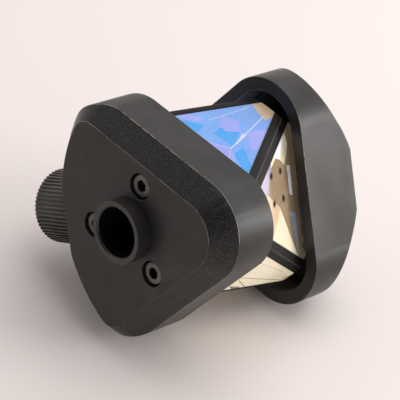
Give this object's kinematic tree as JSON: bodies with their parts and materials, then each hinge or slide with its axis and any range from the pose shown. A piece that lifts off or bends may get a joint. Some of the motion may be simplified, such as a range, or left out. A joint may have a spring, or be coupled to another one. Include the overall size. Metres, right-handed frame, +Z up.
{
  "type": "all-round surveying prism",
  "caption": "Reflector with corner-cube prisms between two rounded-triangular caps, a socket for a 12 mm spigot and a side thumb screw.",
  "frame": {"origin": "centre of the footprint, on the surface the object lies on", "axes": "+Z up; the main axis leans back 15 degrees from level, with the socket facing -Y and slightly up; the clamp knob points to -X and down"},
  "size_m": [0.0646, 0.0662, 0.0531],
  "materials": {
    "cap_anodised": "bead-blasted, black anodised",
    "sleeve_metal": "turned, grey-black anodised, bright worn rim",
    "plate_anodised": "matt black anodised",
    "screw_steel": "dark steel, worn bright on the heads",
    "seat_rubber": "matt",
    "prism_glass": "polished, with a thin coloured coating",
    "strip_black": "satin black",
    "knob_anodised": "straight-knurled, black anodised",
    "thread_steel": "turned",
    "brass": "turned"
  },
  "bodies": {
    "root": {"near_cap": "cap_anodised", "far_cap": "cap_anodised", "socket_sleeve": "sleeve_metal", "near_end_plate": "plate_anodised", "far_end_plate": "plate_anodised", "near_cap_screws": "screw_steel", "far_cap_screws": "screw_steel", "near_seat_ring": "seat_rubber", "far_seat_ring": "seat_rubber", "prism_near_1": "prism_glass", "prism_near_2": "prism_glass", "prism_near_3": "prism_glass", "prism_far_1": "prism_glass", "prism_far_2": "prism_glass", "prism_far_3": "prism_glass", "edge_strip_1": "strip_black", "edge_strip_2": "strip_black", "edge_strip_3": "strip_black", "edge_strip_4": "strip_black", "edge_strip_5": "strip_black", "edge_strip_6": "strip_black", "clamp_bush": "brass"},
    "clamp_slider": {"clamp_pad": "brass"},
    "clamp_turner": {"clamp_knob": "knob_anodised", "clamp_screw": "thread_steel"}
  },
  "joints": [
    {"name": "clamp_slide", "type": "slide", "parent": "root", "child": "clamp_slider", "axis": [-0.866, -0.1308, -0.4826], "range_m": [-0.0007, 0.0021]},
    {"name": "clamp_turn", "type": "hinge", "parent": "clamp_slider", "child": "clamp_turner", "pos_m": [-0.01313, -0.01719, 0.02086], "axis": [-0.866, -0.1308, -0.4826], "range_deg": [-360, 1080]}
  ],
  "couplings": [
    {"joint": "clamp_slide", "follows": "clamp_turn", "m_per_rad": 0.00011141}
  ]
}
